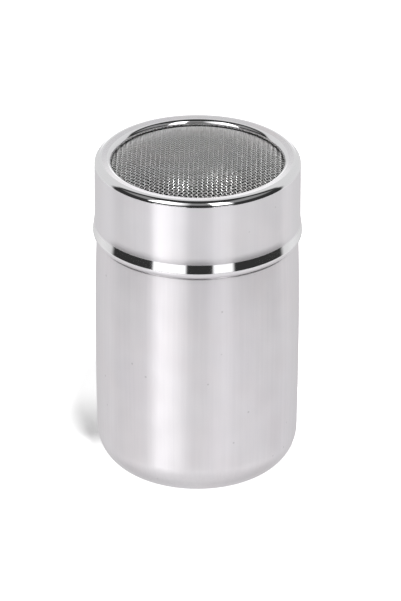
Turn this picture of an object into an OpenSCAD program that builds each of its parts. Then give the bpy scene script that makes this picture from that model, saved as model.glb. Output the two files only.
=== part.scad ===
// Stainless steel shaker with a screw lid and a woven mesh sieve.
// A deep-drawn cup carries a rolled thread on its neck. The lid is a spun shell pressed over a
// threaded inner sleeve, and the sieve insert lies between the shell's flange and the sleeve's shelf.
// The origin is the centre of the base, +Z is the axis of the cup, and all sizes are millimetres.

/* [Cup] */
// Outer diameter of the cup at its belly, the widest place
body_d = 64; // [60:0.5:90]
// Height of the cup that shows below the lid
body_h = 78.8; // [70:0.1:120]
// Height of the belly above the base
belly_z = 53; // [45:1:60]
// How far the wall draws in from the belly to the bottom corner, on the radius
foot_taper = 0.45; // [0.2:0.05:2]
// How far the wall draws in from the belly to the shoulder, on the radius
shoulder_taper = 0.45; // [0.1:0.05:1.5]
// Radius of the drawn bottom corner
corner_r = 12; // [6:0.2:16]
// Thickness of the cup's sheet
cup_sheet = 0.6; // [0.4:0.05:0.7]
// Width of the flat ring that the cup stands on
foot_ring_w = 3; // [2:0.5:6]
// Height of the base's push-up inside the foot ring
push_up = 0.8; // [0.3:0.1:1.5]
// Radial width of the slope between the foot ring and the push-up
push_up_slope = 3; // [2:0.5:5]

/* [Neck] */
// Rounding where the wall turns in to the shoulder
shoulder_round = 1.2; // [0.9:0.05:1.6]
// Fillet where the shoulder turns up into the neck
neck_fillet = 0.75; // [0.5:0.05:1.2]
// Height by which the shoulder starts below the lid's lower edge
shoulder_drop = 0.8; // [0.7:0.05:1.5]
// Outer radius of the curl that rounds the mouth
mouth_curl_r = 0.95; // [0.85:0.05:1.2]

/* [Thread] */
// Rise of the thread in one turn
thread_pitch = 6; // [5:0.5:8]
// Height of a thread ridge above its wall
thread_h = 1.05; // [0.8:0.05:1.2]
// Width of a thread ridge at its wall
thread_base_w = 2.8; // [2:0.1:3]
// Width of a thread ridge at its crest
thread_crest_w = 1; // [0.6:0.1:1.2]
// Radial gap from a crest to the wall that faces it
crest_gap = 0.45; // [0.3:0.05:0.6]
// Axial gap between the flanks that pull the lid down
flank_gap = 0.2; // [0.15:0.05:0.5]
// Turns of thread on the cup's neck
cup_turns = 1.6; // [1:0.1:1.8]
// Turns of thread in the sleeve
sleeve_turns = 1.3; // [0.8:0.1:1.5]
// Height of the sleeve thread's start above the lid's lower edge
thread_start = 5.6; // [4.5:0.1:6.5]

/* [Lid shell] */
// Height of the lid from its lower edge to its rim
lid_h = 26.3; // [25:0.1:40]
// Thickness of the shell's sheet
lid_sheet = 0.5; // [0.4:0.05:0.6]
// How far the bead stands proud of the skirt
bead_out = 0.6; // [0.4:0.05:1]
// Radius of the bead, and of the curl that closes it below
bead_r = 2.2; // [2:0.1:3]
// Angle through which the bead curls in under the sleeve
bead_curl = 53; // [45:1:60]
// Lean of the bead's polished upper flank
flank_lean = 8; // [6:0.5:12]
// Radius of the hollow blend from the bead's flank to the skirt
blend_r = 16; // [8:1:20]
// Radius of the lid's top outer corner
rim_corner_r = 2; // [1.4:0.1:2.4]
// Width of the rim, from the skirt to the opening
rim_w = 5.25; // [4.8:0.05:8]
// Height by which the rim falls from its outer corner to the roll
rim_dish = 0.25; // [0.1:0.05:0.6]
// Radius of the roll from the rim into the opening
rim_roll_r = 1.6; // [1:0.1:2]
// Height of the plain edge that the roll ends in
flange_land = 0.1; // [0.05:0.05:1]

/* [Inner sleeve] */
// Thickness of the sleeve's sheet
sleeve_sheet = 0.5; // [0.4:0.05:0.6]
// Outer radius of the corner between the sleeve and its shelf
sleeve_corner_r = 1.2; // [0.8:0.1:1.8]
// Radial gap between the sleeve and the shell around it
sleeve_fit = 0.05; // [0.03:0.01:0.2]
// Distance from the opening's edge back to the shelf's edge
shelf_back = 0.3; // [0.2:0.05:0.8]

/* [Sieve] */
// Wires of the mesh in one inch
mesh_count = 24; // [16:1:26]
// Diameter of the wires
wire_d = 0.34; // [0.2:0.01:0.4]
// Height of the mesh's crown above the rim
crown = 0.9; // [0:0.1:3]
// Turn of the weave from the X axis
weave_angle = 44; // [0:1:90]
// Gap between the two layers of wires
layer_gap = 0.03; // [0.02:0.01:0.1]
// Thickness of the hem ring's sheet
hem_sheet = 0.3; // [0.2:0.05:0.4]
// Radial width of the hem ring
hem_w = 1.5; // [1.3:0.1:2.5]
// Radial gap from the opening's edge back to the hem ring
hem_back = 0.1; // [0.05:0.05:0.4]
// Radius of the hem ring's two folds
hem_fold_r = 0.5; // [0.4:0.05:0.6]

/* [Fits] */
// Gap between faces that lie on each other but move apart
seat_gap = 0.1; // [0.05:0.01:0.2]
// Gap between the wires and the hem ring that grips them
grip_gap = 0.05; // [0.03:0.01:0.1]
// Gap from the wires' ends to the bottom of the hem ring's fold
wire_end_gap = 0.15; // [0.1:0.05:0.3]

/* [Hidden] */
INCH = 25.4;
SMOOTH = 96;
STEEL = [0.78, 0.78, 0.77];
STEEL_INSIDE = [0.68, 0.68, 0.68];
STEEL_WIRE = [0.55, 0.55, 0.54];

// Steps that a quarter turn of a sheet's bend is drawn in
QUARTER_STEPS = 8;
// Steps of the long curve of the wall on each side of the belly
WALL_STEPS = 10;
// Steps of the thread in one turn, and how deep its root lies in the wall
THREAD_STEPS = 40;
THREAD_ROOT = 0.2;
// Angle over which a thread ridge rises out of the wall at each end
THREAD_FADE = 40;
// Angle that the mouth's curl goes round
MOUTH_CURL = 235;
// How far the sleeve's foot stays above the curl that carries it
SLEEVE_FOOT_GAP = 0.1;

belly_r = body_d / 2;
foot_r = belly_r - foot_taper;
shoulder_r = belly_r - shoulder_taper;
neck_r = shoulder_r - shoulder_round - neck_fillet;

// The lid is built outwards from the neck
crest_r = neck_r + thread_h;
sleeve_in_r = crest_r + crest_gap;
sleeve_r = sleeve_in_r + sleeve_sheet;
skirt_r = sleeve_r + sleeve_fit + lid_sheet;
bead_crest_r = skirt_r + bead_out;
bead_z = body_h + bead_r * sin(bead_curl);
opening_r = skirt_r - rim_w;
total_h = body_h + lid_h;

// The mesh's two layers lie on spheres about one centre
hem_in_r = opening_r + hem_back;
hem_r = hem_in_r + hem_w;
flange_z = total_h - rim_dish - rim_roll_r - flange_land;
hem_top_z = flange_z - seat_gap;
wire_end_r = hem_r - hem_sheet - wire_end_gap;
mesh_top_z = total_h + crown;
mesh_edge_z = hem_top_z - hem_sheet - grip_gap;
mesh_rise = mesh_top_z - mesh_edge_z;
dome_r = (hem_in_r * hem_in_r + mesh_rise * mesh_rise) / (2 * mesh_rise);
dome_z = mesh_top_z - dome_r;
warp_r = dome_r - wire_d / 2;
weft_r = warp_r - wire_d - layer_gap;
wire_pitch = INCH / mesh_count;
wires_each_side = floor((wire_end_r - wire_d) / wire_pitch);

// From the mesh down: the hem ring, the sleeve's shelf and the cup's mouth
mesh_low_r = weft_r - wire_d / 2;
mesh_low_z = dome_z + sqrt(mesh_low_r * mesh_low_r - wire_end_r * wire_end_r);
hem_low_z = mesh_low_z - grip_gap - hem_sheet;
shelf_z = hem_low_z - seat_gap;
mouth_z = shelf_z - sleeve_sheet - seat_gap;

// The thread pair: the sleeve's ridge hooks under the cup's ridge
flank_slope = (thread_base_w - thread_crest_w) / 2 / thread_h;
flank_sum = thread_base_w - flank_slope * (thread_h + crest_gap);
sleeve_thread_z = body_h + thread_start;
cup_thread_z = sleeve_thread_z + flank_sum + flank_gap;

// Points of an arc about c, from angle a to angle b
function arc(c, r, a, b) =
    let (steps = max(2, ceil(abs(b - a) / 90 * QUARTER_STEPS)))
    [for (i = [0:steps]) let (t = a + (b - a) * i / steps) c + r * [cos(t), sin(t)]];

// A path without the points that only repeat the one before
function distinct(path) =
    [for (i = [0:len(path) - 1]) if (i == 0 || norm(path[i] - path[i - 1]) > 0.001) path[i]];

// Unit vector to the left of the way from a to b
function left(a, b) = let (d = (b - a) / norm(b - a)) [-d[1], d[0]];

// Point i of the path that lies t to the left of a path, with mitred corners
function beside(path, i, t) =
    let (
        last = len(path) - 1,
        before = left(path[max(i - 1, 0)], path[max(i, 1)]),
        after = left(path[min(i, last - 1)], path[min(i + 1, last)]),
        middle = (before + after) / norm(before + after)
    )
    path[i] + middle * t / (middle * before);

// Section of a sheet whose outer face follows a path, with the metal on the path's left
function sheet(path, t) =
    concat(path, [for (i = [len(path) - 1:-1:0]) beside(path, i, t)]);

module spun_sheet(path, t) {
    rotate_extrude($fn = SMOOTH) polygon(sheet(distinct(path), t));
}

// Outer face of the cup, from the middle of its base to the curl of its mouth
lean = atan(2 * foot_taper / (belly_z - corner_r));
corner_c = [foot_r - corner_r * cos(lean), corner_r];
foot_z = corner_r * (1 - sin(lean));
ring_in_r = corner_c[0] - foot_ring_w;
shoulder_z = body_h - shoulder_drop;
neck_z = shoulder_z + shoulder_round + neck_fillet;

// Share of a taper that is reached at part t of the way from the belly
function taper_at(t) = t * t;

function push_up_path() = concat(
    [[0, push_up]],
    [for (i = [0:QUARTER_STEPS])
        [ring_in_r - push_up_slope * (1 - i / QUARTER_STEPS),
         push_up * (1 + cos(180 * i / QUARTER_STEPS)) / 2]]
);

function wall_path() = concat(
    [for (i = [WALL_STEPS:-1:1]) let (t = i / WALL_STEPS)
        [belly_r - foot_taper * taper_at(t), belly_z - (belly_z - foot_z) * t]],
    [for (i = [0:WALL_STEPS]) let (t = i / WALL_STEPS)
        [belly_r - shoulder_taper * taper_at(t), belly_z + (shoulder_z - belly_z) * t]]
);

function neck_path() = concat(
    arc([shoulder_r - shoulder_round, shoulder_z], shoulder_round, 0, 90),
    arc([neck_r + neck_fillet, neck_z], neck_fillet, 270, 180),
    arc([neck_r - mouth_curl_r, mouth_z - mouth_curl_r], mouth_curl_r, 0, MOUTH_CURL)
);

function cup_path() = concat(
    push_up_path(),
    arc(corner_c, corner_r, -90, -lean),
    wall_path(),
    neck_path()
);

// The rim is the straight line that touches both its corner and its roll; its normal's angle
rim_span = [rim_w - rim_corner_r - rim_roll_r, rim_dish + rim_roll_r - rim_corner_r];
rim_normal = atan2(rim_span[1], rim_span[0]) + acos((rim_roll_r - rim_corner_r) / norm(rim_span));

// Outer face of the lid shell, from the curled lower edge to the foot of its flange
flank_l = (bead_out - (bead_r + blend_r) * (1 - cos(flank_lean))) / sin(flank_lean);
blend_z = bead_z + (bead_r + blend_r) * sin(flank_lean) + flank_l * cos(flank_lean);

function lid_path() = concat(
    arc([bead_crest_r - bead_r, bead_z], bead_r, -bead_curl, flank_lean),
    arc([skirt_r + blend_r, blend_z], blend_r, 180 + flank_lean, 180),
    arc([skirt_r - rim_corner_r, total_h - rim_corner_r], rim_corner_r, 0, rim_normal),
    arc([opening_r + rim_roll_r, total_h - rim_dish - rim_roll_r], rim_roll_r, rim_normal, 180),
    [[opening_r, flange_z]]
);

// Outer face of the sleeve, from its foot on the bead's curl to the edge of its shelf
curl_in_r = bead_r - lid_sheet;
curl_c_r = bead_crest_r - bead_r;
sleeve_foot_z = bead_z - sqrt(curl_in_r * curl_in_r - pow(sleeve_r - curl_c_r, 2))
    + SLEEVE_FOOT_GAP;

function sleeve_path() = concat(
    [[sleeve_r, sleeve_foot_z]],
    arc([sleeve_r - sleeve_corner_r, shelf_z - sleeve_corner_r], sleeve_corner_r, 0, 90),
    [[opening_r + shelf_back, shelf_z]]
);

// Outer face of the hem ring, a channel folded over the mesh's edge and open inwards
function hem_path() = concat(
    [[hem_in_r, hem_low_z]],
    arc([hem_r - hem_fold_r, hem_low_z + hem_fold_r], hem_fold_r, -90, 0),
    arc([hem_r - hem_fold_r, hem_top_z - hem_fold_r], hem_fold_r, 0, 90),
    [[hem_in_r, hem_top_z]]
);

// One ridge of thread: it stands from wall_r out or in to top_r, and its middle starts at z
module thread_ridge(wall_r, top_r, z, turns) {
    outward = sign(top_r - wall_r);
    root_r = wall_r - outward * THREAD_ROOT;
    root_w = thread_base_w + 2 * flank_slope * THREAD_ROOT;
    steps = ceil(turns * THREAD_STEPS);
    sweep = turns * 360;
    // Section at angle a, from the lower inner corner round to the upper inner one
    function section(a) =
        let (
            rise = min(1, a / THREAD_FADE, (sweep - a) / THREAD_FADE),
            tip_r = root_r + outward * (0.05 + rise * (abs(top_r - root_r) - 0.05)),
            r = outward > 0 ? [root_r, tip_r] : [tip_r, root_r],
            w = outward > 0 ? [root_w, thread_crest_w] : [thread_crest_w, root_w],
            mid = z + thread_pitch * a / 360
        )
        [for (c = [[r[0], -w[0]], [r[1], -w[1]], [r[1], w[1]], [r[0], w[0]]])
            [c[0] * cos(a), c[0] * sin(a), mid + c[1] / 2]];
    points = [for (i = [0:steps]) each section(sweep * i / steps)];
    sides = [for (i = [0:steps - 1], k = [0:3])
        let (a = 4 * i + k, b = 4 * i + (k + 1) % 4)
        each [[a, b, a + 4], [b, b + 4, a + 4]]];
    last = 4 * steps;
    ends = [[0, 2, 1], [0, 3, 2], [last, last + 1, last + 2], [last, last + 2, last + 3]];
    polyhedron(points, concat(sides, ends), convexity = 10);
}

// One wire: an arc on a sphere of radius r, in the plane that lies x off the axis
module wire(r, x) {
    arc_r = sqrt(r * r - x * x);
    reach = sqrt(wire_end_r * wire_end_r - pow(abs(x) + wire_d / 2, 2));
    half = asin(reach / arc_r);
    translate([x, 0, dome_z])
        rotate([90, 0, 90])
            rotate([0, 0, 90 - half])
                rotate_extrude(angle = 2 * half, $fn = SMOOTH)
                    translate([arc_r, 0])
                        circle(d = wire_d, $fn = 16);
}

// One layer of the mesh: parallel wires, a pitch apart
module wire_layer(r) {
    for (i = [-wires_each_side:wires_each_side]) wire(r, i * wire_pitch);
}

module cup() {
    color(STEEL) union() {
        spun_sheet(cup_path(), cup_sheet);
        thread_ridge(neck_r, crest_r, cup_thread_z, cup_turns);
    }
}

module thread_sleeve() {
    color(STEEL_INSIDE) union() {
        spun_sheet(sleeve_path(), sleeve_sheet);
        thread_ridge(sleeve_in_r, sleeve_in_r - thread_h, sleeve_thread_z, sleeve_turns);
    }
}

module lid_shell() {
    color(STEEL) spun_sheet(lid_path(), lid_sheet);
}

module hem_ring() {
    color(STEEL_INSIDE) spun_sheet(hem_path(), hem_sheet);
}

module warp_wires() {
    color(STEEL_WIRE) rotate([0, 0, weave_angle]) wire_layer(warp_r);
}

module weft_wires() {
    color(STEEL_WIRE) rotate([0, 0, weave_angle + 90]) wire_layer(weft_r);
}

cup();
thread_sleeve();
lid_shell();
hem_ring();
warp_wires();
weft_wires();
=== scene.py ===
"""Looks of the sieve-top shaker: fine lathed shells, rolled threads, woven wires and steel.

Sizes are in millimetres until a mesh is made, with the names and values of part.scad.
"""

import math

import bpy
from mathutils import Matrix, Vector


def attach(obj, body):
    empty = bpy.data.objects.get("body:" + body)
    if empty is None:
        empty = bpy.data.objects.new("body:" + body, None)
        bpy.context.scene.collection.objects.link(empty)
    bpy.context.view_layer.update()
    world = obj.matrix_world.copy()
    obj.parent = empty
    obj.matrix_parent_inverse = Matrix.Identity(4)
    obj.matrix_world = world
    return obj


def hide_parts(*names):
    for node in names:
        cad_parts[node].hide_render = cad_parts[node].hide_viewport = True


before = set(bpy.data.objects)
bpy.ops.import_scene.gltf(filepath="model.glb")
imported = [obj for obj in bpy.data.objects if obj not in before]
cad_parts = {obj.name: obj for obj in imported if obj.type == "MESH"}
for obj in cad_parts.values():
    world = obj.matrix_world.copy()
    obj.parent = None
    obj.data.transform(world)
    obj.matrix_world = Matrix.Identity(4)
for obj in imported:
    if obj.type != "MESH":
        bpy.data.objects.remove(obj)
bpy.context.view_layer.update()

MM = 0.001

# Cup
BELLY_R = 32.0
BODY_H = 78.8
BELLY_Z = 53.0
FOOT_TAPER = 0.45
SHOULDER_TAPER = 0.45
CORNER_R = 12.0
CUP_SHEET = 0.6
FOOT_RING_W = 3.0
PUSH_UP = 0.8
PUSH_UP_SLOPE = 3.0
SHOULDER_ROUND = 1.2
NECK_FILLET = 0.75
SHOULDER_DROP = 0.8
MOUTH_CURL_R = 0.95
MOUTH_CURL = 235

# Thread pair
THREAD_PITCH = 6.0
THREAD_H = 1.05
THREAD_BASE_W = 2.8
THREAD_CREST_W = 1.0
CREST_GAP = 0.45
FLANK_GAP = 0.2
CUP_TURNS = 1.6
SLEEVE_TURNS = 1.3
THREAD_START = 5.6
THREAD_FADE = 40.0

# Lid shell and sleeve
LID_H = 26.3
LID_SHEET = 0.5
BEAD_OUT = 0.6
BEAD_R = 2.2
BEAD_CURL = 53.0
FLANK_LEAN = 8.0
BLEND_R = 16.0
RIM_CORNER_R = 2.0
RIM_W = 5.25
RIM_DISH = 0.25
RIM_ROLL_R = 1.6
FLANGE_LAND = 0.1
SLEEVE_SHEET = 0.5
SLEEVE_CORNER_R = 1.2
SLEEVE_FIT = 0.05
SLEEVE_FOOT_GAP = 0.1
SHELF_BACK = 0.3

# Sieve
WIRE_PITCH = 25.4 / 24
WIRE_D = 0.34
CROWN = 0.9
WEAVE_ANGLE = 44.0
HEM_SHEET = 0.3
HEM_W = 1.5
HEM_BACK = 0.1
HEM_FOLD_R = 0.5
SEAT_GAP = 0.1
GRIP_GAP = 0.05
WIRE_END_GAP = 0.15
LAYER_GAP = 0.03

FOOT_R = BELLY_R - FOOT_TAPER
SHOULDER_R = BELLY_R - SHOULDER_TAPER
NECK_R = SHOULDER_R - SHOULDER_ROUND - NECK_FILLET
SLEEVE_IN_R = NECK_R + THREAD_H + CREST_GAP
SLEEVE_R = SLEEVE_IN_R + SLEEVE_SHEET
SKIRT_R = SLEEVE_R + SLEEVE_FIT + LID_SHEET
BEAD_CREST_R = SKIRT_R + BEAD_OUT
BEAD_Z = BODY_H + BEAD_R * math.sin(math.radians(BEAD_CURL))
OPENING_R = SKIRT_R - RIM_W
TOTAL_H = BODY_H + LID_H

HEM_IN_R = OPENING_R + HEM_BACK
HEM_R = HEM_IN_R + HEM_W
FLANGE_Z = TOTAL_H - RIM_DISH - RIM_ROLL_R - FLANGE_LAND
HEM_TOP_Z = FLANGE_Z - SEAT_GAP
WIRE_END_R = HEM_R - HEM_SHEET - WIRE_END_GAP
MESH_TOP_Z = TOTAL_H + CROWN
MESH_RISE = MESH_TOP_Z - (HEM_TOP_Z - HEM_SHEET - GRIP_GAP)
DOME_R = (HEM_IN_R**2 + MESH_RISE**2) / (2 * MESH_RISE)
MESH_LOW_R = DOME_R - 2 * WIRE_D - LAYER_GAP
MESH_LOW_Z = MESH_TOP_Z - DOME_R + math.sqrt(MESH_LOW_R**2 - WIRE_END_R**2)
HEM_LOW_Z = MESH_LOW_Z - GRIP_GAP - HEM_SHEET
SHELF_Z = HEM_LOW_Z - SEAT_GAP
MOUTH_Z = SHELF_Z - SLEEVE_SHEET - SEAT_GAP

FLANK_SLOPE = (THREAD_BASE_W - THREAD_CREST_W) / 2 / THREAD_H
FLANK_SUM = THREAD_BASE_W - FLANK_SLOPE * (THREAD_H + CREST_GAP)
SLEEVE_THREAD_Z = BODY_H + THREAD_START
CUP_THREAD_Z = SLEEVE_THREAD_Z + FLANK_SUM + FLANK_GAP


# ---------------------------------------------------------------- profiles
# Points closer than this count as one
SAME_POINT = 1e-3


def arc(c, r, a, b, step=5.0):
    """Points of an arc about c, from angle a to angle b, no more than step degrees apart."""
    n = max(3, math.ceil(abs(b - a) / step))
    out = []
    for i in range(n + 1):
        t = math.radians(a + (b - a) * i / n)
        out.append((c[0] + r * math.cos(t), c[1] + r * math.sin(t)))
    return out


def line(a, b, step):
    """Points of a straight line from a to b, no more than step apart."""
    n = max(1, math.ceil(math.dist(a, b) / step))
    return [(a[0] + (b[0] - a[0]) * i / n, a[1] + (b[1] - a[1]) * i / n) for i in range(n + 1)]


def distinct(path):
    """The path without points that repeat the one before."""
    out = [path[0]]
    for p in path[1:]:
        if math.dist(p, out[-1]) > SAME_POINT:
            out.append(p)
    return out


def beside(path, t):
    """The path moved t to the left of its own way."""
    out = []
    for i, p in enumerate(path):
        a, b = path[max(i - 1, 0)], path[min(i + 1, len(path) - 1)]
        d1 = Vector((p[0] - a[0], p[1] - a[1])) if i else Vector((b[0] - p[0], b[1] - p[1]))
        d2 = Vector((b[0] - p[0], b[1] - p[1])) if i < len(path) - 1 else d1
        n1 = Vector((-d1.y, d1.x)).normalized()
        n2 = Vector((-d2.y, d2.x)).normalized()
        m = (n1 + n2).normalized()
        m *= t / m.dot(n1)
        out.append((p[0] + m.x, p[1] + m.y))
    return out


LEAN = math.atan(2 * FOOT_TAPER / (BELLY_Z - CORNER_R))
CORNER_C = (FOOT_R - CORNER_R * math.cos(LEAN), CORNER_R)
FOOT_Z = CORNER_R * (1 - math.sin(LEAN))
SHOULDER_Z = BODY_H - SHOULDER_DROP
NECK_Z = SHOULDER_Z + SHOULDER_ROUND + NECK_FILLET
SLOPE_STEPS = 16
LOW_WALL_STEPS = 24
HIGH_WALL_STEPS = 16


def push_up_path():
    """The base from the axis outwards: flat, then down a soft slope to the foot ring."""
    ring_in = CORNER_C[0] - FOOT_RING_W
    path = line((0, PUSH_UP), (ring_in - PUSH_UP_SLOPE, PUSH_UP), 2.0)
    for i in range(1, SLOPE_STEPS + 1):
        t = i / SLOPE_STEPS
        path.append((ring_in - PUSH_UP_SLOPE * (1 - t), PUSH_UP * (1 + math.cos(math.pi * t)) / 2))
    return path


def wall_path():
    """The barrelled wall: two parabolas that meet at the belly."""
    path = []
    for i in range(LOW_WALL_STEPS, 0, -1):
        t = i / LOW_WALL_STEPS
        path.append((BELLY_R - FOOT_TAPER * t * t, BELLY_Z - (BELLY_Z - FOOT_Z) * t))
    for i in range(HIGH_WALL_STEPS + 1):
        t = i / HIGH_WALL_STEPS
        path.append((BELLY_R - SHOULDER_TAPER * t * t, BELLY_Z + (SHOULDER_Z - BELLY_Z) * t))
    return path


def cup_outer():
    """Outer face of the cup, from the middle of its base to the end of the curled mouth."""
    return distinct(
        push_up_path()
        + arc(CORNER_C, CORNER_R, -90, -math.degrees(LEAN), 3)
        + wall_path()
        + arc((SHOULDER_R - SHOULDER_ROUND, SHOULDER_Z), SHOULDER_ROUND, 0, 90, 8)
        + arc((NECK_R + NECK_FILLET, NECK_Z), NECK_FILLET, 270, 180, 10)
        + line((NECK_R, NECK_Z), (NECK_R, MOUTH_Z - MOUTH_CURL_R), 0.2)
        + arc((NECK_R - MOUTH_CURL_R, MOUTH_Z - MOUTH_CURL_R), MOUTH_CURL_R, 0, MOUTH_CURL, 10)
    )


FLANK_S, FLANK_C = math.sin(math.radians(FLANK_LEAN)), math.cos(math.radians(FLANK_LEAN))
FLANK_L = (BEAD_OUT - (BEAD_R + BLEND_R) * (1 - FLANK_C)) / FLANK_S
BLEND_Z = BEAD_Z + (BEAD_R + BLEND_R) * FLANK_S + FLANK_L * FLANK_C
# Angles on the bead and on the rim's corner from which they are polished
BEAD_POLISH_FROM = 3.0
CORNER_POLISH_FROM = 4

# The rim is the straight line that touches both its corner and its roll
RIM_SPAN = (RIM_W - RIM_CORNER_R - RIM_ROLL_R, RIM_DISH + RIM_ROLL_R - RIM_CORNER_R)
RIM_NORMAL = math.degrees(
    math.atan2(RIM_SPAN[1], RIM_SPAN[0]) + math.acos((RIM_ROLL_R - RIM_CORNER_R) / math.hypot(*RIM_SPAN))
)


def lid_parts():
    """Stretches of the lid's outer face, each with the name of its finish."""
    bead = (BEAD_CREST_R - BEAD_R, BEAD_Z)
    corner = (SKIRT_R - RIM_CORNER_R, TOTAL_H - RIM_CORNER_R)
    roll = (OPENING_R + RIM_ROLL_R, TOTAL_H - RIM_DISH - RIM_ROLL_R)
    blend = arc((SKIRT_R + BLEND_R, BLEND_Z), BLEND_R, 180 + FLANK_LEAN, 180, 0.8)
    flank = line(arc(bead, BEAD_R, 0, FLANK_LEAN)[-1], blend[0], FLANK_L / 10)
    skirt = line(blend[-1], (SKIRT_R, corner[1]), 1.0)
    rim_start = arc(corner, RIM_CORNER_R, 0, RIM_NORMAL)[-1]
    rim_end = arc(roll, RIM_ROLL_R, RIM_NORMAL, 180)[0]
    flange = line((OPENING_R, roll[1]), (OPENING_R, FLANGE_Z), 0.1)
    return [
        ("satin", arc(bead, BEAD_R, -BEAD_CURL, BEAD_POLISH_FROM, 3)),
        ("polished", arc(bead, BEAD_R, BEAD_POLISH_FROM, FLANK_LEAN, 2) + flank[1:10]),
        ("satin", flank[9:] + blend + skirt + arc(corner, RIM_CORNER_R, 0, CORNER_POLISH_FROM, 2)),
        ("polished", arc(corner, RIM_CORNER_R, CORNER_POLISH_FROM, RIM_NORMAL, 3)),
        ("brushed", line(rim_start, rim_end, 0.25)),
        ("polished", arc(roll, RIM_ROLL_R, RIM_NORMAL, 180, 3) + flange),
    ]


def sleeve_outer():
    """Outer face of the sleeve, from its foot in the curl to the inner edge of its shelf."""
    curl_in = BEAD_R - LID_SHEET
    foot_z = BEAD_Z - math.sqrt(curl_in**2 - (SLEEVE_R - BEAD_CREST_R + BEAD_R) ** 2) + SLEEVE_FOOT_GAP
    corner = (SLEEVE_R - SLEEVE_CORNER_R, SHELF_Z - SLEEVE_CORNER_R)
    return distinct(
        line((SLEEVE_R, foot_z), (SLEEVE_R, corner[1]), 0.2)
        + arc(corner, SLEEVE_CORNER_R, 0, 90, 6)
        + line((corner[0], SHELF_Z), (OPENING_R + SHELF_BACK, SHELF_Z), 0.5)
    )


def hem_outer():
    """Outer face of the folded ring that grips the wires, from its lower lip to its upper one."""
    low = (HEM_R - HEM_FOLD_R, HEM_LOW_Z + HEM_FOLD_R)
    high = (HEM_R - HEM_FOLD_R, HEM_TOP_Z - HEM_FOLD_R)
    return distinct(
        line((HEM_IN_R, HEM_LOW_Z), (low[0], HEM_LOW_Z), 0.3)
        + arc(low, HEM_FOLD_R, -90, 0, 10)
        + arc(high, HEM_FOLD_R, 0, 90, 10)
        + line((high[0], HEM_TOP_Z), (HEM_IN_R, HEM_TOP_Z), 0.3)
    )


# ---------------------------------------------------------------- meshes
ROUND = 256
# A cut edge is rounded: the sheet is cut back, and the edge swells, by these shares of its ease
EDGE_EASE = 0.12
EDGE_CUT_BACK = 0.6
EDGE_SWELL = 0.55
# At most this share of a path's last step is cut away
LONGEST_CUT = 0.9
# Points of a cut edge, as shares of its width
EDGE_POINTS = (0.15, 0.35, 0.65, 0.85)
# A profile point nearer than this lies on the axis
AXIS_R = 1e-6
# Edges sharper than these angles, in degrees, stay sharp
SHELL_SHARP = 40
WIRE_SHARP = 50


def eased(path, at_start, at_end):
    """Shortens a sheet's path a little at its free ends, where the cut edge is rounded."""
    path = list(path)
    for flag, i, j in ((at_start, 0, 1), (at_end, -1, -2)):
        if flag:
            d = math.dist(path[i], path[j])
            k = min(EDGE_EASE * EDGE_CUT_BACK / d, LONGEST_CUT)
            (x0, z0), (x1, z1) = path[i], path[j]
            path[i] = (x0 + (x1 - x0) * k, z0 + (z1 - z0) * k)
    return path


def cap(a, b, out):
    """Rounded cut edge from a to b, which swells in the direction out."""
    pts = []
    for k in EDGE_POINTS:
        s = math.sqrt(max(0.0, 1 - (2 * k - 1) ** 2)) * EDGE_EASE * EDGE_SWELL
        pts.append((a[0] + (b[0] - a[0]) * k + out[0] * s, a[1] + (b[1] - a[1]) * k + out[1] * s))
    return pts


def away(path, i, j):
    """Direction from the path's point j to its point i."""
    d = Vector((path[i][0] - path[j][0], path[i][1] - path[j][1])).normalized()
    return (d.x, d.y)


def lathe(name, outer, thickness, finishes, on_axis=False, push=None):
    """Revolves a sheet; finishes has a material for each stretch of outer, and the inside's last."""
    outer = eased(outer, not on_axis, True)
    inner = beside(outer, thickness)
    if on_axis:
        inner[0] = (0.0, inner[0][1])
    profile, face_of = [], []
    for i, p in enumerate(outer):
        profile.append(p)
        face_of.append(finishes[min(i, len(finishes) - 2)])
    for p in cap(outer[-1], inner[-1], away(outer, -1, -2)):
        profile.append(p)
        face_of.append(finishes[-1])
    for p in reversed(inner):
        profile.append(p)
        face_of.append(finishes[-1])
    if not on_axis:
        for p in cap(inner[0], outer[0], away(outer, 0, 1)):
            profile.append(p)
            face_of.append(finishes[-1])
    verts, rows = [], []
    for r, z in profile:
        if r < AXIS_R:
            rows.append([len(verts)] * ROUND)
            verts.append((0.0, 0.0, z * MM))
            continue
        rows.append(list(range(len(verts), len(verts) + ROUND)))
        for j in range(ROUND):
            a = 2 * math.pi * j / ROUND
            rr = r + (push(r, z, a) if push else 0.0)
            verts.append((rr * math.cos(a) * MM, rr * math.sin(a) * MM, z * MM))
    faces, slots = [], []
    count = len(rows)
    for i in range(count - 1 if on_axis else count):
        a, b = rows[i], rows[(i + 1) % count]
        for j in range(ROUND):
            k = (j + 1) % ROUND
            if a[0] == a[1]:
                f = (a[j], b[k], b[j])
            elif b[0] == b[1]:
                f = (a[j], a[k], b[j])
            else:
                f = (a[j], a[k], b[k], b[j])
            faces.append(f)
            slots.append(face_of[i])
    mesh = bpy.data.meshes.new(name)
    mesh.from_pydata(verts, [], faces)
    mesh.update()
    return finish_mesh(name, mesh, slots, SHELL_SHARP)


def finish_mesh(name, mesh, slots, sharp):
    """Shades a mesh smooth up to the sharp angle, gives its faces their materials and links it."""
    mesh.polygons.foreach_set("use_smooth", [True] * len(mesh.polygons))
    if slots is not None:
        mesh.polygons.foreach_set("material_index", slots)
    mesh.set_sharp_from_angle(angle=math.radians(sharp))
    obj = bpy.data.objects.new(name, mesh)
    bpy.context.scene.collection.objects.link(obj)
    return obj


def smooth(t):
    """Soft step from 0 to 1."""
    t = min(1.0, max(0.0, t))
    return t * t * (3 - 2 * t)


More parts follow.
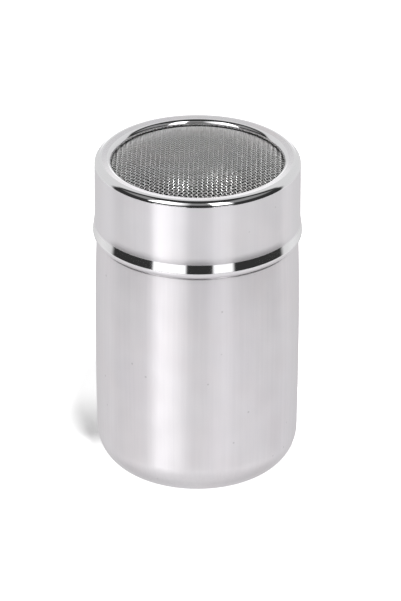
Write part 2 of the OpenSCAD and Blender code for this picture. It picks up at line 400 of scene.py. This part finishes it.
def thread_push(z0, turns, low_z, high_z):
    """Radial push of a rolled thread: one ridge with rounded flanks that fades at both ends."""
    sweep = turns * 360

    def push(r, z, a):
        if not low_z < z < high_z:
            return 0.0
        best, deg = 0.0, math.degrees(a)
        while deg <= sweep:
            rise = min(1.0, deg / THREAD_FADE, (sweep - deg) / THREAD_FADE)
            off = abs(z - (z0 + THREAD_PITCH * deg / 360))
            half = THREAD_BASE_W / 2
            flat = THREAD_CREST_W / 2
            best = max(best, smooth((half - off) / (half - flat)) * smooth(rise) * THREAD_H)
            deg += 360
        return best

    return push


# Each wire is a tube with this many sides, and with this many steps in each pitch of the weave
WIRE_SIDES = 8
STEPS_PER_PITCH = 4
LEAST_STEPS = 6
# Its cut ends are narrowed to this share of its thickness
WIRE_END_SHARE = 0.85
# How far a wire swings up and down, as a share of its thickness
WIRE_SWING = 0.52
# The dome of the sieve: its power, and how far below the hem's top it ends
DOME_N = 4.4
EDGE_DROP = 0.7
EDGE_MID_Z = HEM_TOP_Z - EDGE_DROP
# The soft join there, and the gap that is left below the sieve's full height
EDGE_JOIN = 0.1
TOP_GAP = 0.01


def mesh_height(r):
    """Height of the middle of the weave: a flat-topped dome that runs level into the hem."""
    top = MESH_TOP_Z - WIRE_D - TOP_GAP
    drop = top - EDGE_MID_Z
    free = top - drop * (r / HEM_IN_R) ** DOME_N
    above = free - EDGE_MID_Z
    return EDGE_MID_Z + (above + math.sqrt(above * above + EDGE_JOIN**2)) / 2


def wire_mesh(name, turn, lift_sign):
    """One layer of woven wires: 53 tubes that pass over and under the other layer."""
    count = int((WIRE_END_R - WIRE_D) / WIRE_PITCH)
    radius = WIRE_D / 2
    swing = WIRE_SWING * WIRE_D
    verts, faces = [], []
    ca, sa = math.cos(math.radians(turn)), math.sin(math.radians(turn))
    for k in range(-count, count + 1):
        x = k * WIRE_PITCH
        reach = math.sqrt(WIRE_END_R**2 - (abs(x) + radius) ** 2)
        steps = max(LEAST_STEPS, math.ceil(2 * reach / (WIRE_PITCH / STEPS_PER_PITCH)))
        centre = []
        for i in range(steps + 1):
            s = -reach + 2 * reach * i / steps
            h = mesh_height(math.hypot(x, s))
            h += lift_sign * (-1) ** k * swing * math.cos(math.pi * s / WIRE_PITCH)
            centre.append(Vector((x, s, h)))
        first = len(verts)
        for i, c in enumerate(centre):
            t = (centre[min(i + 1, steps)] - centre[max(i - 1, 0)]).normalized()
            side = Vector((1, 0, 0))
            up = side.cross(t).normalized()
            end = i in (0, steps)
            for j in range(WIRE_SIDES):
                a = 2 * math.pi * j / WIRE_SIDES
                rr = radius * (WIRE_END_SHARE if end else 1.0)
                p = c + (side * math.cos(a) + up * math.sin(a)) * rr
                verts.append(((p.x * ca - p.y * sa) * MM, (p.x * sa + p.y * ca) * MM, p.z * MM))
        for i in range(steps):
            for j in range(WIRE_SIDES):
                a = first + i * WIRE_SIDES + j
                b = first + i * WIRE_SIDES + (j + 1) % WIRE_SIDES
                faces.append((a, b, b + WIRE_SIDES, a + WIRE_SIDES))
        last = first + steps * WIRE_SIDES
        faces.append(tuple(first + j for j in reversed(range(WIRE_SIDES))))
        faces.append(tuple(last + j for j in range(WIRE_SIDES)))
    mesh = bpy.data.meshes.new(name)
    mesh.from_pydata(verts, [], faces)
    mesh.update()
    return finish_mesh(name, mesh, None, WIRE_SHARP)


# ---------------------------------------------------------------- node helpers
class Nodes:
    """Short calls that add shader nodes to one tree."""

    def __init__(self, tree):
        self.tree = tree
        self.tree.nodes.clear()

    def new(self, kind, settings=None, **inputs):
        """A node with its settings, and its inputs by name, with _ for a space."""
        n = self.tree.nodes.new(kind)
        for k, v in (settings or {}).items():
            setattr(n, k, v)
        for k, v in inputs.items():
            self.put(n.inputs[k.replace("_", " ")], v)
        return n

    def put(self, socket, v):
        """Links v into the socket if v is a socket too, or else sets it as the value."""
        if isinstance(v, bpy.types.NodeSocket):
            self.tree.links.new(v, socket)
        else:
            socket.default_value = v

    def math(self, op, *args):
        n = self.tree.nodes.new("ShaderNodeMath")
        n.operation = op
        for i, a in enumerate(args):
            self.put(n.inputs[i], a)
        return n.outputs[0]

    def ramp(self, value, low, high, to_low=0.0, to_high=1.0, soft=True):
        """Takes value from low to high into to_low to to_high, held beyond both ends."""
        n = self.tree.nodes.new("ShaderNodeMapRange")
        n.interpolation_type = "SMOOTHSTEP" if soft else "LINEAR"
        for i, a in enumerate((value, low, high, to_low, to_high)):
            self.put(n.inputs[i], a)
        return n.outputs[0]

    def noise(self, vector, scale, detail, rough=0.5):
        n = self.new("ShaderNodeTexNoise", Vector=vector, Scale=scale, Detail=detail, Roughness=rough)
        return n.outputs["Fac"]

    def stretched(self, vector, x, y, z):
        n = self.new("ShaderNodeMapping", Vector=vector, Scale=(x, y, z))
        return n.outputs["Vector"]

    def mix(self, fac, a, b):
        n = self.tree.nodes.new("ShaderNodeMix")
        n.data_type = "RGBA"
        self.put(n.inputs[0], fac)
        self.put(n.inputs[6], a)
        self.put(n.inputs[7], b)
        return n.outputs[2]


def material(name):
    """A new material, and the helper for its nodes."""
    m = bpy.data.materials.new(name)
    m.use_nodes = True
    return m, Nodes(m.node_tree)


# ---------------------------------------------------------------- steel
# Scales are per metre, and a tint scales the base colour's red, green and blue
WARM_TINT = (0.99, 0.93, 0.915)
WARM_SCALE = 70.0
WARM_RANGE = (0.42, 0.68)
COOL_TINT = (0.95, 0.94, 1.0)
COOL_SCALE = 45.0
COOL_STRETCH = 0.4
COOL_RANGE = (0.45, 0.7)
STREAK_TINT = (0.9, 0.9, 0.91)
STREAK_SCALE = 900.0
STREAK_STRETCH = 0.02
STREAK_RANGE = (0.35, 0.65)
SPECK_TINT = (0.45, 0.44, 0.44)
SPECK_SCALE = 250.0
# One cell in five has a speck, which fades out between these distances from its middle
SPECK_PICK = (0.80, 0.81)
SPECK_EDGE = (0.12, 0.05)
WEAR_SCALE = 130.0
WEAR_RANGE = (0.3, 0.7)
ANISO_TURN = 0.25


def tinted(base, tint):
    return (base[0] * tint[0], base[1] * tint[1], base[2] * tint[2], 1.0)


def steel(name, base, rough, aniso=0.0, blotch=0.0, specks=0.0, streaks=0.0, spread=0.03):
    """Stainless steel: tinted blotches, drawing streaks, specks and changing roughness."""
    m, n = material(name)
    where = n.new("ShaderNodeTexCoord").outputs["Object"]
    colour = (*base, 1.0)
    if blotch:
        warm = n.ramp(n.noise(where, WARM_SCALE, 2.0), *WARM_RANGE)
        colour = n.mix(n.math("MULTIPLY", warm, blotch), colour, tinted(base, WARM_TINT))
        cool = n.ramp(n.noise(n.stretched(where, 1, 1, COOL_STRETCH), COOL_SCALE, 2.0), *COOL_RANGE)
        colour = n.mix(n.math("MULTIPLY", cool, blotch), colour, tinted(base, COOL_TINT))
    if streaks:
        drawn = n.noise(n.stretched(where, 1, 1, STREAK_STRETCH), STREAK_SCALE, 3.0, 0.6)
        lines = n.ramp(drawn, *STREAK_RANGE)
        colour = n.mix(n.math("MULTIPLY", lines, streaks), colour, tinted(base, STREAK_TINT))
    if specks:
        cells = n.new("ShaderNodeTexVoronoi", Vector=where, Scale=SPECK_SCALE, Randomness=1.0)
        chance = n.new("ShaderNodeSeparateColor", Color=cells.outputs["Color"]).outputs[0]
        pick = n.ramp(chance, *SPECK_PICK)
        dot = n.ramp(cells.outputs["Distance"], *SPECK_EDGE)
        mark = n.math("MULTIPLY", pick, dot)
        colour = n.mix(n.math("MULTIPLY", mark, specks), colour, tinted(base, SPECK_TINT))
    wear = n.noise(where, WEAR_SCALE, 3.0)
    roughness = n.ramp(wear, *WEAR_RANGE, rough - spread, rough + spread)
    bsdf = n.new("ShaderNodeBsdfPrincipled", Base_Color=colour, Roughness=roughness, Metallic=1.0)
    if aniso:
        bsdf.inputs["Anisotropic"].default_value = aniso
        bsdf.inputs["Anisotropic Rotation"].default_value = ANISO_TURN
        tangent = n.new("ShaderNodeTangent", {"direction_type": "RADIAL", "axis": "Z"})
        n.put(bsdf.inputs["Tangent"], tangent.outputs[0])
    out = n.new("ShaderNodeOutputMaterial")
    n.put(out.inputs[0], bsdf.outputs[0])
    return m


satin_cup = steel(
    "satin_cup", (0.785, 0.762, 0.785), 0.34, aniso=0.6, blotch=0.18, specks=0.4, streaks=0.3, spread=0.012
)
satin_lid = steel(
    "satin_lid", (0.795, 0.777, 0.80), 0.30, aniso=0.78, blotch=0.15, specks=0.3, streaks=0.2, spread=0.01
)
polished = steel("polished_steel", (0.86, 0.86, 0.87), 0.07, blotch=0.15, spread=0.02)
brushed = steel("brushed_rim", (0.795, 0.785, 0.80), 0.22, aniso=0.5, blotch=0.5, streaks=0.3)
# Inner steel with a near-black base colour: painted shade for the insides of the cup, lid and sleeve and
# for the sieve's hem, where the steel lies in shadow
inner_painted_shade = steel("inner_steel_painted_shade", (0.12, 0.12, 0.118), 0.4, blotch=0.3)
wire = steel("drawn_wire", (0.94, 0.935, 0.93), 0.34, blotch=0.2, spread=0.02)


# ---------------------------------------------------------------- pieces
# The cup's threaded band ends this far below the mouth
CUP_THREAD_CLEAR = 1.2
# The sleeve's starts this far below the bead, and ends this far below the shelf
SLEEVE_THREAD_DROP = 1.5
SLEEVE_THREAD_CLEAR = 2.0

# The cup's outside is satin, and its inside has the inner steel's painted shade
cup_path = cup_outer()
cup = lathe(
    "drawn_cup",
    cup_path,
    CUP_SHEET,
    [0] * (len(cup_path) - 1) + [1],
    on_axis=True,
    push=thread_push(CUP_THREAD_Z, CUP_TURNS, NECK_Z, MOUTH_Z - CUP_THREAD_CLEAR),
)
cup.data.materials.append(satin_cup)
cup.data.materials.append(inner_painted_shade)
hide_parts("cup")
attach(cup, "cup")

# Finishes of the lid; the last one, on its inside, is the inner steel's painted shade
LID_FINISHES = ["satin", "polished", "brushed", "inner_painted_shade"]
lid_path, lid_finish = [], []
for finish_name, part in lid_parts():
    part = distinct(part)
    if lid_path:
        part = part[1:]
    lid_finish += [LID_FINISHES.index(finish_name)] * len(part)
    lid_path += part
# A stretch's finish starts at the point before its first one
lid_finish = lid_finish[1:] + [LID_FINISHES.index("polished"), LID_FINISHES.index("inner_painted_shade")]
lid = lathe("lid_skirt", lid_path, LID_SHEET, lid_finish)
for m in (satin_lid, polished, brushed, inner_painted_shade):
    lid.data.materials.append(m)
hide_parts("lid_shell")
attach(lid, "lid")

inward = thread_push(
    SLEEVE_THREAD_Z, SLEEVE_TURNS, BEAD_Z - SLEEVE_THREAD_DROP, SHELF_Z - SLEEVE_THREAD_CLEAR
)
# The sleeve has the inner steel's painted shade all over
sleeve_path = sleeve_outer()
sleeve = lathe(
    "threaded_sleeve",
    sleeve_path,
    SLEEVE_SHEET,
    [0] * (len(sleeve_path) + 1),
    push=lambda r, z, a: -inward(r, z, a),
)
sleeve.data.materials.append(inner_painted_shade)
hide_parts("thread_sleeve")
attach(sleeve, "lid")

# The hem has the inner steel's painted shade all over
hem_path = hem_outer()
hem = lathe("sieve_hem", hem_path, HEM_SHEET, [0] * (len(hem_path) + 1))
hem.data.materials.append(inner_painted_shade)
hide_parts("hem_ring")
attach(hem, "sieve")

for name, node, turn, sign in (
    ("woven_warp", "warp_wires", WEAVE_ANGLE, 1),
    ("woven_weft", "weft_wires", WEAVE_ANGLE + 90, -1),
):
    layer = wire_mesh(name, turn, sign)
    layer.data.materials.append(wire)
    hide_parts(node)
    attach(layer, "sieve")

# ---------------------------------------------------------------- floor and light
FLOOR_R = 0.38
FLOOR_SIDES = 128
FLOOR_ALBEDO = 0.8
# Strength of the table's glow in front, just behind the cup and far behind it; the dip just behind the cup
# is a painted shadow, and the strong glow in front is painted light that all but hides the key's shadow
# there
GLOW_FRONT = 0.95
GLOW_PAINTED_SHADOW = 0.42
GLOW_FAR = 0.92
# Metres behind the cup's axis between which it fades, and between which it comes back
GLOW_FADES = (0.004, 0.016)
GLOW_RETURNS = (0.014, 0.048)


def floor():
    """A round white table top, which keeps the key's shadow and glows for the camera alone; the glow is
    weaker just behind the cup, a painted shadow added to the key's.
    """
    verts, faces = [(0.0, 0.0, 0.0)], []
    for i in range(FLOOR_SIDES):
        a = 2 * math.pi * i / FLOOR_SIDES
        verts.append((FLOOR_R * math.cos(a), FLOOR_R * math.sin(a), 0.0))
        faces.append((0, i + 1, (i + 1) % FLOOR_SIDES + 1))
    mesh = bpy.data.meshes.new("floor")
    mesh.from_pydata(verts, [], faces)
    obj = bpy.data.objects.new("floor", mesh)
    bpy.context.scene.collection.objects.link(obj)
    m, n = material("floor_white")
    light = n.new("ShaderNodeLightPath")
    # The table glows least just behind the cup, a painted shadow where the key's shadow falls, and more
    # again farther back
    where = n.new("ShaderNodeTexCoord").outputs["Object"]
    back = n.new("ShaderNodeSeparateXYZ", Vector=where).outputs[1]
    near = n.ramp(back, *GLOW_FADES, GLOW_FRONT, GLOW_PAINTED_SHADOW)
    far = n.ramp(back, *GLOW_RETURNS, 0.0, GLOW_FAR - GLOW_PAINTED_SHADOW)
    level = n.math("ADD", near, far)
    seen = n.math("MULTIPLY", light.outputs["Is Camera Ray"], level)
    glow = n.new("ShaderNodeEmission", Color=(1, 1, 1, 1), Strength=seen)
    matt = n.new("ShaderNodeBsdfDiffuse", Color=(FLOOR_ALBEDO, FLOOR_ALBEDO, FLOOR_ALBEDO, 1))
    both = n.new("ShaderNodeAddShader")
    n.put(both.inputs[0], glow.outputs[0])
    n.put(both.inputs[1], matt.outputs[0])
    out = n.new("ShaderNodeOutputMaterial")
    n.put(out.inputs[0], both.outputs[0])
    mesh.materials.append(m)
    # Mirrored in the steel, the table is part of the studio's surroundings
    obj.visible_glossy = False


# Strengths of what the steel mirrors
DARK_ROOM = 0.035
BACKDROP = 0.72
SWEEP = 0.5
CEILING = 0.25
LEFT_BOX = 2.6
LEFT_EDGE = 1.3
LEFT_GLOW = 0.93
RIGHT_BOX = 2.6
RIGHT_EDGE = 1.2
TABLE_FRONT = 1.20
TABLE_BACK = 0.70
TABLE_NEAR = 0.70
TABLE_NEAR_BACK = 1.2
TABLE_RIM = 1.03
# Where each of them starts and ends, in degrees of azimuth to the right of the front
LEFT_OUTER = (-56, -54.5)
LEFT_INNER = (-8, -42)
LEFT_EDGE_OUTER = (-49.5, -46.5)
LEFT_EDGE_INNER = (-10, -14)
LEFT_GLOW_OUTER = (-52.5, -48.5)
RIGHT_INNER = (15, 18)
RIGHT_OUTER = (41, 36)
# Degrees away from the front, to either side
SWEEP_SIDE = (164, 172)
BACKDROP_SIDE = (99, 107)
CEILING_SIDE = (105, 85)
TABLE_SIDE = (60, 160)
TABLE_NEAR_SIDE = (120, 165)
# Degrees above the horizon
BOX_FOOT = (12, 20)
BOX_TOP = (66, 56)
EDGE_FOOT = (-16, -14)
EDGE_TOP = (-6, -9)
SWEEP_TOP = (23, 15)
CEILING_FOOT = (24, 34)
CEILING_TOP = (66, 56)
GLOW_HEIGHT = (-42, -27)
TABLE_NEAR_HEIGHT = (-52, -31)
TABLE_TOP = (-17, -20)
# Height over distance, which is never taken as less than LEAST_BACK
BACKDROP_TOP = (2.7, 1.7)
LEAST_BACK = 0.01


def studio():
    """A white backdrop behind, a pale table below, a dark room in front with two tall softboxes."""
    world = bpy.data.worlds.new("studio")
    world.use_nodes = True
    bpy.context.scene.world = world
    n = Nodes(world.node_tree)
    way = n.new("ShaderNodeTexCoord").outputs["Generated"]
    xyz = n.new("ShaderNodeSeparateXYZ", Vector=way)
    x, y, z = xyz.outputs
    to_deg = 180 / math.pi
    front = n.math("MULTIPLY", y, -1.0)
    azimuth = n.math("MULTIPLY", n.math("ARCTAN2", x, front), to_deg)
    height = n.math("MULTIPLY", n.math("ARCSINE", z), to_deg)
    side = n.math("ABSOLUTE", azimuth)

    def times(*factors):
        product = factors[0]
        for f in factors[1:]:
            product = n.math("MULTIPLY", product, f)
        return product

    def plus(*terms):
        total = terms[0]
        for t in terms[1:]:
            total = n.math("ADD", total, t)
        return total

    left_fade = n.ramp(azimuth, *LEFT_INNER, soft=False)
    left = times(n.ramp(azimuth, *LEFT_OUTER), left_fade)
    right = times(n.ramp(azimuth, *RIGHT_INNER), n.ramp(azimuth, *RIGHT_OUTER))
    # Each softbox is seen twice: by itself, and in the edge of the table below it
    boxes = times(n.ramp(height, *BOX_FOOT), n.ramp(height, *BOX_TOP))
    edge = times(n.ramp(height, *EDGE_FOOT), n.ramp(height, *EDGE_TOP))
    left_edge = times(n.ramp(azimuth, *LEFT_EDGE_OUTER), n.ramp(azimuth, *LEFT_EDGE_INNER), edge, LEFT_EDGE)
    right_edge = times(right, edge, RIGHT_EDGE)
    sweep = times(n.ramp(side, *SWEEP_SIDE), n.ramp(height, *SWEEP_TOP), SWEEP)
    # The backdrop is an upright sheet, so its upper edge falls away to the sides
    rise = n.math("DIVIDE", z, n.math("MAXIMUM", y, LEAST_BACK))
    backdrop = times(n.ramp(side, *BACKDROP_SIDE), n.ramp(rise, *BACKDROP_TOP), plus(BACKDROP, sweep))
    overhead = times(n.ramp(height, *CEILING_FOOT), n.ramp(height, *CEILING_TOP))
    ceiling = times(overhead, n.ramp(side, *CEILING_SIDE), CEILING)
    room = plus(
        DARK_ROOM,
        backdrop,
        ceiling,
        times(left, boxes, LEFT_BOX),
        times(right, boxes, RIGHT_BOX),
        left_edge,
        right_edge,
    )
    # The table is brightest under the left softbox, and close to the cup darker in front than behind
    glow = times(n.ramp(azimuth, *LEFT_GLOW_OUTER), left_fade, n.ramp(height, *GLOW_HEIGHT), LEFT_GLOW)
    table = plus(n.ramp(side, *TABLE_SIDE, TABLE_FRONT, TABLE_BACK), glow)
    close = n.ramp(side, *TABLE_NEAR_SIDE, TABLE_NEAR, TABLE_NEAR_BACK)
    table = times(table, n.ramp(height, *TABLE_NEAR_HEIGHT, close, TABLE_RIM))
    below = n.ramp(height, *TABLE_TOP)
    room = plus(times(room, n.math("SUBTRACT", 1.0, below)), times(table, below))
    # Only the key lights the floor, which is the one matt thing here
    path = n.new("ShaderNodeLightPath")
    strength = times(room, n.math("SUBTRACT", 1.0, path.outputs["Is Diffuse Ray"]))
    strength = n.math("MAXIMUM", strength, path.outputs["Is Camera Ray"])
    bg = n.new("ShaderNodeBackground", Color=(1, 1, 1, 1), Strength=strength)
    out = n.new("ShaderNodeOutputWorld")
    n.put(out.inputs[0], bg.outputs[0])


# The narrow beams come from this angle above the horizon and this far away, from a tiny lamp
GLINT_ELEVATION = 55
GLINT_DISTANCE = 0.5
GLINT_LAMP_R = 0.002


def lamp(name, where, size, power, aim):
    """A round area lamp at where, turned to aim."""
    data = bpy.data.lights.new(name, "AREA")
    data.shape = "DISK"
    data.size = size
    data.energy = power
    obj = bpy.data.objects.new(name, data)
    obj.location = where
    obj.rotation_mode = "QUATERNION"
    obj.rotation_quaternion = (Vector(aim) - Vector(where)).to_track_quat("-Z", "Y")
    bpy.context.scene.collection.objects.link(obj)
    return obj


def glint(name, aim, azimuth, cone, power):
    """A narrow beam from high in front, for a glint on the sieve."""
    data = bpy.data.lights.new(name, "SPOT")
    data.energy = power
    data.spot_size = math.radians(cone)
    data.spot_blend = 1.0
    data.shadow_soft_size = GLINT_LAMP_R
    obj = bpy.data.objects.new(name, data)
    a, e = math.radians(azimuth), math.radians(GLINT_ELEVATION)
    way = Vector((math.sin(a) * math.cos(e), -math.cos(a) * math.cos(e), math.sin(e)))
    obj.location = Vector(aim) + way * GLINT_DISTANCE
    obj.rotation_mode = "QUATERNION"
    obj.rotation_quaternion = (-way).to_track_quat("-Z", "Y")
    bpy.context.scene.collection.objects.link(obj)


floor()
studio()
key = lamp("key", (0.111, -0.496, 1.197), size=0.165, power=19.5, aim=(0, 0, 0))
key.visible_glossy = False
glint("glint_left", (-0.0050, -0.0184, 0.1045), azimuth=25, cone=1.1, power=7.5)
glint("glint_right", (0.0068, -0.0166, 0.1045), azimuth=-25, cone=1.75, power=6.0)

# ---------------------------------------------------------------- camera
# Seen from 27.2 degrees above the horizon; the axis of the cup is turned 0.17 degrees clockwise
ELEVATION = math.radians(27.2)
ROLL = math.radians(0.17)
# From this point on the axis, in metres, the camera's elevation and distance are taken
PIVOT_Z = 0.048
DISTANCE = 2.2
# Millimetres, and metres from the lens
SENSOR = 36
CLIP_START = 0.1
CLIP_END = 10
PIXELS_PER_MM = 3.181
PHOTO_H = 601
AIM = Vector((0.000997, 0.002874, 0.05359))


def camera():
    """A long lens on the photograph's frame, rolled about its own axis."""
    data = bpy.data.cameras.new("camera")
    data.sensor_fit = "VERTICAL"
    data.sensor_height = SENSOR
    data.sensor_width = SENSOR
    data.lens = PIXELS_PER_MM * DISTANCE / MM * SENSOR / PHOTO_H
    data.clip_start = CLIP_START
    data.clip_end = CLIP_END
    obj = bpy.data.objects.new("camera", data)
    bpy.context.scene.collection.objects.link(obj)
    eye = Vector((0, -math.cos(ELEVATION) * DISTANCE, PIVOT_Z + math.sin(ELEVATION) * DISTANCE))
    ahead = (AIM - eye).normalized()
    right = ahead.cross(Vector((0, 0, 1))).normalized()
    up = right.cross(ahead)
    rolled_right = right * math.cos(ROLL) + up * math.sin(ROLL)
    rolled_up = up * math.cos(ROLL) - right * math.sin(ROLL)
    turn = Matrix((rolled_right, rolled_up, -ahead)).transposed()
    obj.rotation_mode = "QUATERNION"
    obj.rotation_quaternion = turn.to_quaternion()
    obj.location = eye
    bpy.context.scene.camera = obj


camera()
bpy.context.scene.view_settings.view_transform = "Standard"
